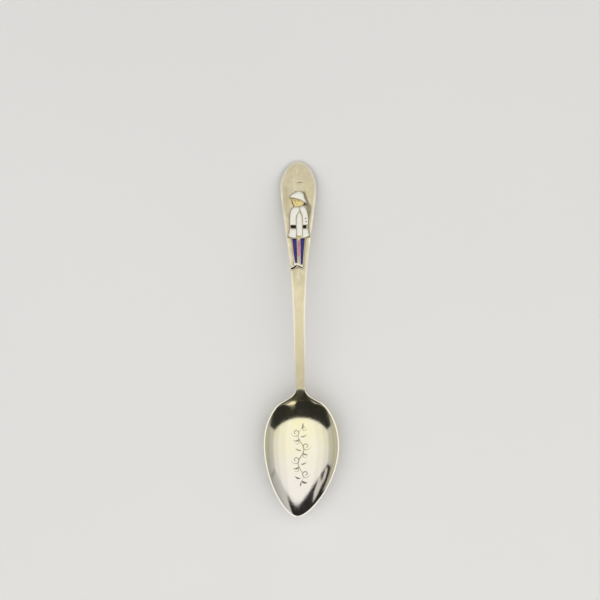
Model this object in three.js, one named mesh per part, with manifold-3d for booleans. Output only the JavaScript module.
// A souvenir teaspoon: one struck silver blank (bowl, stem and handle) that carries an applied
// silver figure in uniform, whose cells each hold their own fired enamel inlay.
// Millimetres, +Z up. The spoon lies right way up on z = 0 with +Y from the bowl's tip to the
// handle's end, and the origin is on the table under the middle of its length.

import * as THREE from 'three';
import { mergeVertices } from 'three/addons/utils/BufferGeometryUtils.js';
import Module from 'manifold-3d';

const wasm = await Module();
wasm.setup();

// ---------------------------------------------------------------- driving dimensions
// Along the spoon, y is measured from the bowl's tip.

const length = 140;
const crease = 50.4; // where the bowl's hollow begins, a straight line across the neck
const bowlWidest = 28;
const handleWidest = 129.6;
const flatStart = 94; // from here to the end the front of the handle is a plane
const figureFoot = 96.55; // the foot of the applied figure

const bowlHalfWidth = 14.78;
const neckHalfWidth = 1.89;
const handleHalfWidth = 7.09;

const bowlRim = 0.5; // widths of the polished bevel that runs all round the front edge
const neckRim = 0.3;
const handleRim = 0.65;
const endRim = 0.95;
const rimDrop = 0.15; // how far the bevel falls on its way out, less along the stem and at the end
const bowlTipHeight = 8.4;
const creaseHeight = 10.8;
const creaseSlope = 0.3;
const bowlDepth = 6.8;
const endHeight = 0.98; // front face at the handle's end
const handleSlope = THREE.MathUtils.degToRad(14);

const bowlThickness = 1.05;
const neckThickness = 2.4;
const handleThickness = 1.3;
const bowlEdge = 0.52; // height of the upright edge under the bevel
const handleEdge = 0.92;
const tipWear = 1.85; // how far years of right-handed stirring have worn the tip to one side

const plateThickness = 0.85; // the applied figure, to the top of its cell walls
const cellFloor = 0.5;
const cellWall = 0.2;
const enamelTop = 0.82;
const fitGap = 0.03; // between an inlay and its cell, and between the plate and the handle

// ---------------------------------------------------------------- materials

const silver = { color: 0xd6ccb4, metalness: 1, roughness: 0.22 };
const whiteEnamel = { color: 0xece6d6, metalness: 0, roughness: 0.18 };
const fleshEnamel = { color: 0xdccb8c, metalness: 0, roughness: 0.2 };
const blackEnamel = { color: 0x17161a, metalness: 0, roughness: 0.15 };
const blueEnamel = { color: 0x2a1f78, metalness: 0, roughness: 0.15 };
const redEnamel = { color: 0xc4878c, metalness: 0, roughness: 0.18 };
const brownEnamel = { color: 0x7c6a4c, metalness: 0, roughness: 0.2 };

function namedMesh(name, geometry, look) {
  const mesh = new THREE.Mesh(geometry, new THREE.MeshStandardMaterial(look));
  mesh.name = name;
  return mesh;
}

// ---------------------------------------------------------------- the blank's outline
// Half of the plan outline, from the handle's end to the bowl's tip, as smooth Bezier curves.

function bezier(...points) {
  return new THREE.CubicBezierCurve(...points.map(([x, y]) => new THREE.Vector2(x, y)));
}

const halfOutline = [
  { steps: 10, curve: bezier([0, length], [3.5, length], [7.09, 134.9], [handleHalfWidth, handleWidest]) },
  { steps: 7, curve: bezier([handleHalfWidth, handleWidest], [7.09, 125.3], [5.28, 113.6], [4.2, 105.6]) },
  { steps: 7, curve: bezier([4.2, 105.6], [3.25, 98.6], [2.19, 84.6], [2.17, 70.8]) },
  { steps: 6, curve: bezier([2.17, 70.8], [2.17, 64.5], [1.9, 56], [neckHalfWidth, crease]) },
  { steps: 7, curve: bezier([neckHalfWidth, crease], [1.89, 47.6], [5.6, 46.3], [8.38, 44.58]) },
  { steps: 8, curve: bezier([8.38, 44.58], [9.63, 43.8], [14.78, 38.4], [bowlHalfWidth, bowlWidest]) },
  { steps: 16, curve: bezier([bowlHalfWidth, bowlWidest], [14.78, 13.6], [4.89, 0], [0, 0]) },
];

function rimWidth(y) {
  const shoulder = (neckRim - bowlRim) * smooth(40, 49, y);
  const stem = (handleRim - neckRim) * smooth(56, 80, y);
  const end = (endRim - handleRim) * smooth(100, 132, y);
  return bowlRim + shoulder + stem + end;
}

// The point at s, which counts whole curves plus the way along the last, moved in by a share of
// the rim's width. A share of 0 is the outline itself and a share of 1 is the bevel's inner line.
function outlinePoint(s, share) {
  const index = Math.min(Math.floor(s), halfOutline.length - 1);
  const { curve } = halfOutline[index];
  const point = curve.getPoint(s - index);
  const tangent = curve.getTangent(s - index);
  const inset = share * rimWidth(point.y);
  return new THREE.Vector2(point.x + tangent.y * inset, point.y - tangent.x * inset);
}

// Half the blank's width at y, between the outlines or between the bevel's inner lines.
function halfWidthAt(y, share) {
  let near = 0;
  let far = halfOutline.length;
  for (let step = 0; step < 40; step += 1) {
    const middle = (near + far) / 2;
    if (outlinePoint(middle, share).y > y) near = middle;
    else far = middle;
  }
  return Math.max(outlinePoint(near, share).x, 1e-6);
}

function smooth(from, to, y) {
  return THREE.MathUtils.smoothstep(y, from, to);
}

// ---------------------------------------------------------------- the blank's height

// A cubic from one height and slope to another.
function hermite(y, [y0, z0, slope0], [y1, z1, slope1]) {
  const span = y1 - y0;
  const t = (y - y0) / span;
  const late = t * t * (3 - 2 * t);
  return z0 * (1 - late) + z1 * late + span * t * (1 - t) * (slope0 * (1 - t) - slope1 * t);
}

// The front of the blank at its edges: level at the bowl's tip, arched along the stem, and then
// a plane that comes down to the table.
function frontHeight(y) {
  const fall = Math.tan(handleSlope);
  const planeHeight = endHeight + (length - y) * fall;
  if (y >= flatStart) return planeHeight;
  const flatHeight = endHeight + (length - flatStart) * fall;
  if (y >= crease) return hermite(y, [crease, creaseHeight, creaseSlope], [flatStart, flatHeight, -fall]);
  return hermite(y, [0, bowlTipHeight, 0], [crease, creaseHeight, creaseSlope]);
}

const depthCurves = [
  bezier([bowlRim, 0], [6.5, 3.4], [18.7, bowlDepth], [27.5, bowlDepth]),
  bezier([27.5, bowlDepth], [38, bowlDepth], [42.5, 2], [crease, 0]),
];

// How far the middle of the hollow lies under the rim.
function hollowDepth(y) {
  if (y <= bowlRim || y >= crease) return 0;
  const curve = depthCurves[y < 27.5 ? 0 : 1];
  let near = 0;
  let far = 1;
  for (let step = 0; step < 40; step += 1) {
    const middle = (near + far) / 2;
    if (curve.getPoint(middle).y < 0 || curve.getPoint(middle).x < y) near = middle;
    else far = middle;
  }
  return curve.getPoint(near).y;
}

// Depth at x of a round section that is depth deep in the middle and meets zero at halfWidth.
function roundSection(x, halfWidth, depth) {
  if (depth < 1e-6) return 0;
  const radius = (halfWidth * halfWidth + depth * depth) / (2 * depth);
  return Math.sqrt(Math.max(radius * radius - x * x, 0)) - (radius - depth);
}

function topSurface(x, y) {
  return frontHeight(y) - roundSection(x, halfWidthAt(y, 1), hollowDepth(y));
}

function thicknessAt(y) {
  const heel = (neckThickness - bowlThickness) * smooth(38, 52, y);
  const taper = (neckThickness - handleThickness) * smooth(58, 112, y);
  return bowlThickness + heel - taper;
}

function bevelDrop(y) {
  return rimDrop * (1 - 0.25 * smooth(52, 75, y) - 0.45 * smooth(118, 136, y));
}

// The bottom of the upright edge, below a bevel of full depth.
function edgeHeight(y) {
  return bowlEdge + (handleEdge - bowlEdge) * smooth(42, 54, y);
}

// The back is rounded below the upright edge, and worn flat where the spoon stands on it.
function bottomSurface(x, y) {
  const edge = rimDrop + edgeHeight(y);
  const fade = smooth(0, 6, y) * (1 - smooth(length - 6, length, y));
  const sag = hollowDepth(y) + (thicknessAt(y) - edge) * fade;
  return Math.max(frontHeight(y) - edge - roundSection(x, halfWidthAt(y, 0), sag), 0);
}

// ---------------------------------------------------------------- the blank's mesh
// Closed rings follow the outline and shrink to a spine, first over the front, then over the back.

const spineStart = 5;
const spineEnd = 134;
const ringShares = [0.82, 0.62, 0.42, 0.22, 0.07, 0];

function wornX(x, y) {
  const wear = Math.max(1 - y / bowlWidest, 0);
  return x - tipWear * wear * wear;
}

// The outline's points clockwise from above: down the right side and back up the left.
function outlineLoop(share) {
  const places = halfOutline.flatMap(({ steps }, index) =>
    Array.from({ length: steps }, (_, step) => index + step / steps));
  const right = [...places, halfOutline.length].map((s) => outlinePoint(s, share));
  right[0].x = 0;
  right.at(-1).x = 0;
  const left = right.slice(1, -1).reverse().map((point) => new THREE.Vector2(-point.x, point.y));
  return [...right, ...left];
}

function ringTowardSpine(loop, share, height) {
  return loop.map((point) => {
    const spineY = THREE.MathUtils.clamp(point.y, spineStart, spineEnd);
    const x = point.x * share;
    const y = THREE.MathUtils.lerp(spineY, point.y, share);
    return [x, y, height(x, y)];
  });
}

function blankGeometry() {
  const outer = outlineLoop(0);
  const inner = outlineLoop(1);
  const upright = (drop) => outer.map(({ x, y }) => [x, y, Math.max(frontHeight(y) - drop(y), 0)]);
  const rings = [
    ...ringShares.map((share) => ringTowardSpine(inner, share, topSurface)).reverse(),
    inner.map(({ x, y }) => [x, y, frontHeight(y)]),
    upright(bevelDrop),
    upright((y) => rimDrop + edgeHeight(y)),
    ...ringShares.map((share) => ringTowardSpine(outer, share, bottomSurface)),
  ];
  return ringSolid(rings.map((ring) => ring.map(([x, y, z]) => [wornX(x, y), y, z])));
}

// Joins each ring to the next. Points at one place become one vertex, and a triangle that this
// closes up is left out.
function ringSolid(rings) {
  const indexOfPlace = new Map();
  const positions = [];
  const vertex = (point) => {
    const place = point.map((value) => value.toFixed(4)).join();
    if (!indexOfPlace.has(place)) {
      indexOfPlace.set(place, indexOfPlace.size);
      positions.push(...point);
    }
    return indexOfPlace.get(place);
  };
  const triangles = [];
  const triangle = (...corners) => {
    if (new Set(corners).size === 3) triangles.push(...corners);
  };
  for (let row = 0; row + 1 < rings.length; row += 1) {
    const [upper, lower] = [rings[row].map(vertex), rings[row + 1].map(vertex)];
    upper.forEach((corner, index) => {
      const next = (index + 1) % upper.length;
      triangle(corner, upper[next], lower[index]);
      triangle(upper[next], lower[next], lower[index]);
    });
  }
  const geometry = new THREE.BufferGeometry();
  geometry.setAttribute('position', new THREE.Float32BufferAttribute(positions, 3));
  geometry.setIndex(triangles);
  geometry.computeVertexNormals();
  return geometry;
}

// ---------------------------------------------------------------- the figure's outlines
// Drawn on the handle's front plane: x across it and y up it from the figure's foot.

function outline(start, ...pieces) {
  const path = new THREE.Path();
  path.moveTo(...start);
  for (const { line, curve } of pieces) {
    if (line) line.forEach((point) => path.lineTo(...point));
    if (curve) path.splineThru(curve.map((point) => new THREE.Vector2(...point)));
  }
  const points = path.getPoints(3);
  const clockwise = THREE.ShapeUtils.isClockWise(points);
  return clockwise ? points.reverse() : points;
}

const helmet = outline(
  [-3.3, 29.75],
  { curve: [[-2.5, 30.8], [-1.2, 31.6], [0, 32.05], [1.2, 31.7], [2.1, 30.8], [2.35, 29.3], [3.3, 27.5]] },
  { curve: [[2.5, 27.75], [1.4, 28.45], [0.1, 28.95], [-1.6, 29.4], [-3.3, 29.75]] },
);
const face = outline(
  [-2.6, 29.2],
  { curve: [[-1.5, 28.95], [0, 28.65], [1.3, 28.15], [2.05, 27.7]] },
  { curve: [[1.85, 26.95], [1.2, 26.2], [0, 25.85], [-1.35, 26], [-2.05, 27.5], [-2.6, 29.2]] },
);
const hair = outline(
  [2.3, 27.25],
  { line: [[3.3, 27.1], [3.35, 26.8], [2.65, 26.6], [2.35, 26.15], [1.95, 26.15], [2.1, 26.8]] },
);

const tunicFront = outline(
  [-1.75, 25.55],
  { curve: [[-2.6, 24.7], [-3, 23.5], [-3.3, 21.7], [-3.35, 18.45]] },
  { line: [[-0.97, 18.4]] },
  { curve: [[-1.02, 20.9], [-0.72, 22.4], [-0.12, 23.3], [0.35, 24.2], [0.15, 25.5]] },
);
const sleeve = outline(
  [0.55, 23.8],
  { curve: [[-0.2, 22.9], [-0.65, 21.6], [-0.77, 19.5], [-0.72, 17], [-0.65, 13.95]] },
  { line: [[1.43, 13.9]] },
  { curve: [[1.5, 17], [1.45, 19.8], [1.25, 21.8], [0.55, 23.8]] },
);
const tunicBack = outline(
  [0.6, 25.6],
  { curve: [[0.78, 24.4], [1.4, 22.9], [1.66, 21.4], [1.72, 18.4]] },
  { line: [[3.7, 18.4]] },
  { curve: [[3.8, 20.3], [3.7, 21.9], [3.35, 23.6], [2.85, 25], [1.9, 26]] },
);
const beltFront = outline([-3.1, 18.2], { line: [[-0.97, 18.17], [-0.93, 16.9], [-3.05, 17]] });
const beltBack = outline([1.72, 18.17], { line: [[3.1, 18.17], [3.05, 16.85], [1.7, 16.85]] });
const skirtFront = outline(
  [-3.35, 16.75],
  { line: [[-0.92, 16.65]] },
  { curve: [[-0.9, 15], [-0.87, 13.1]] },
  { curve: [[-2.7, 13.25], [-4, 14]] },
  { curve: [[-3.6, 15.3], [-3.35, 16.75]] },
);
const skirtBack = outline(
  [1.7, 16.62],
  { line: [[3.5, 16.65]] },
  { curve: [[3.8, 15.3], [4.25, 14.1]] },
  { curve: [[3, 13.35], [0.85, 13.1]] },
  { line: [[0.85, 13.67], [1.65, 13.7]] },
);
const hand = outline(
  [-0.5, 13.72],
  { line: [[0.62, 13.7]] },
  { curve: [[0.55, 12.9], [0.25, 12.15], [-0.25, 12.2], [-0.5, 12.9], [-0.5, 13.72]] },
);

const trouserFront = outline(
  [-2.55, 12.85],
  { curve: [[-2.15, 9.2], [-1.75, 5.5], [-1.4, 2.9]] },
  { line: [[-0.55, 2.85]] },
  { curve: [[-0.58, 7.5], [-0.72, 12.7]] },
);
const trouserBack = outline(
  [0.74, 12.7],
  { line: [[0.8, 2.1], [1.55, 2.1]] },
  { curve: [[1.8, 5.1], [2.15, 9.5], [2.5, 12.85]] },
);
const stripe = outline([-0.36, 11.85], { line: [[-0.36, 5.6], [0.52, 5.6], [0.52, 11.85]] });
const shoeFront = outline(
  [-3.05, 0.95],
  { curve: [[-2.03, 1.3], [-1.4, 1.85], [-0.72, 2.15]] },
  { line: [[-0.72, 1.45]] },
  { curve: [[-1.3, 1.05], [-2, 0.5], [-3.1, 0.35], [-3.05, 0.95]] },
);
const shoeBack = outline(
  [-0.5, 2.12],
  { curve: [[0.23, 1.7], [1.4, 1.15], [1.6, 0.85], [1.35, 0.65]] },
  { curve: [[0.35, 1.05], [-0.5, 1.48]] },
);

const jacket = outline(
  [-1.8, 25.9],
  { curve: [[-2.8, 24.9], [-3.2, 23.4], [-3.45, 21.7], [-3.5, 18.5], [-3.6, 16], [-4.3, 13.95]] },
  { curve: [[-2.9, 13.05], [0, 12.8], [3, 13.1], [4.6, 14]] },
  { curve: [[4.05, 16.3], [3.95, 20.3], [3.85, 22], [3.5, 23.8], [3.1, 25.1], [2.2, 26.2]] },
);
const legs = outline(
  [-2.85, 13.4],
  { curve: [[-2.45, 9], [-2, 5.3], [-1.65, 2.3]] },
  { line: [[1.8, 1.7]] },
  { curve: [[2.1, 5], [2.45, 9.5], [2.9, 13.4]] },
);
const boots = outline(
  [-0.85, 2.9],
  { curve: [[-2.1, 1.9], [-3.45, 1.25], [-3.25, 0.45]] },
  { curve: [[-1.9, 0.6], [-0.6, 1.5], [0.3, 1.15], [1.4, 0.6]] },
  { curve: [[1.95, 1.1], [1.2, 1.8], [0.3, 2.35], [-0.85, 2.9]] },
);

// ---------------------------------------------------------------- the figure's solids

// The same outline with every side moved out by amount, or in where it is negative.
function grow(points, amount) {
  const count = points.length;
  const distinct = points.filter((point, index) => point.distanceTo(points[(index + 1) % count]) > 1e-4);
  return distinct.map((point, index) => {
    const before = distinct.at(index - 1);
    const after = distinct[(index + 1) % distinct.length];
    const sideIn = point.clone().sub(before).normalize();
    const sideOut = after.clone().sub(point).normalize();
    const outward = new THREE.Vector2(sideIn.y + sideOut.y, -sideIn.x - sideOut.x).normalize();
    const squareness = Math.max(outward.dot(new THREE.Vector2(sideIn.y, -sideIn.x)), 0.5);
    return point.clone().addScaledVector(outward, amount / squareness);
  });
}

function prism(points, bottom, top) {
  const options = { depth: top - bottom, bevelEnabled: false };
  return new THREE.ExtrudeGeometry(new THREE.Shape(points), options).translate(0, 0, bottom);
}

function solidOf(geometry) {
  const bare = geometry.clone();
  bare.deleteAttribute('normal');
  bare.deleteAttribute('uv');
  const merged = mergeVertices(bare, 1e-5);
  const mesh = new wasm.Mesh({
    numProp: 3,
    vertProperties: Float32Array.from(merged.attributes.position.array),
    triVerts: Uint32Array.from(merged.index.array),
  });
  return new wasm.Manifold(mesh);
}

function geometryOf(solid) {
  const { vertProperties, triVerts } = solid.getMesh(); // three numbers to a vertex
  const geometry = new THREE.BufferGeometry();
  geometry.setAttribute('position', new THREE.Float32BufferAttribute(vertProperties, 3));
  geometry.setIndex(Array.from(triVerts));
  geometry.computeVertexNormals();
  return geometry;
}

const inlays = [
  ['helmet_enamel', helmet, whiteEnamel],
  ['face_enamel', face, fleshEnamel],
  ['hair_enamel', hair, blackEnamel],
  ['tunic_front_enamel', tunicFront, whiteEnamel],
  ['tunic_back_enamel', tunicBack, whiteEnamel],
  ['sleeve_enamel', sleeve, whiteEnamel],
  ['belt_front_enamel', beltFront, blackEnamel],
  ['belt_back_enamel', beltBack, blackEnamel],
  ['skirt_front_enamel', skirtFront, whiteEnamel],
  ['skirt_back_enamel', skirtBack, whiteEnamel],
  ['hand_enamel', hand, fleshEnamel],
  ['trouser_front_enamel', trouserFront, blueEnamel],
  ['trouser_back_enamel', trouserBack, blueEnamel],
  ['trouser_stripe_enamel', stripe, redEnamel],
  ['shoe_front_enamel', shoeFront, blackEnamel],
  ['shoe_back_enamel', shoeBack, blackEnamel],
];

// The silver figure: the uniform, legs and boots and a wall round every cell, with the cells cut in.
function figurePlate() {
  const walled = inlays.map(([, cell]) => grow(cell, cellWall));
  const plate = [jacket, legs, boots, ...walled]
    .map((points) => solidOf(prism(points, fitGap, plateThickness)))
    .reduce((whole, piece) => whole.add(piece));
  const cells = inlays.map(([, cell]) => solidOf(prism(cell, cellFloor, plateThickness + 1)));
  return geometryOf(cells.reduce((whole, cell) => whole.subtract(cell), plate));
}

function inlayGeometry(cell) {
  return prism(grow(cell, -fitGap), cellFloor + fitGap, enamelTop);
}

function button(x, y) {
  const radius = 0.3;
  const height = 0.14;
  const geometry = new THREE.CylinderGeometry(radius, radius, height, 12);
  return geometry.rotateX(Math.PI / 2).translate(x, y, enamelTop + fitGap + height / 2);
}

// ---------------------------------------------------------------- assembly

const spoon = new THREE.Group();
spoon.position.y = -length / 2;
spoon.add(namedMesh('spoon_body', blankGeometry(), silver));

const figure = new THREE.Group();
figure.position.set(0, figureFoot, frontHeight(figureFoot));
figure.rotation.x = -handleSlope;
figure.add(namedMesh('figure_plate', figurePlate(), silver));
inlays.forEach(([name, cell, look]) => figure.add(namedMesh(name, inlayGeometry(cell), look)));
figure.add(namedMesh('tunic_button_upper', button(2.85, 20.85), brownEnamel));
figure.add(namedMesh('tunic_button_lower', button(3.05, 19.55), brownEnamel));
spoon.add(figure);

export default spoon;
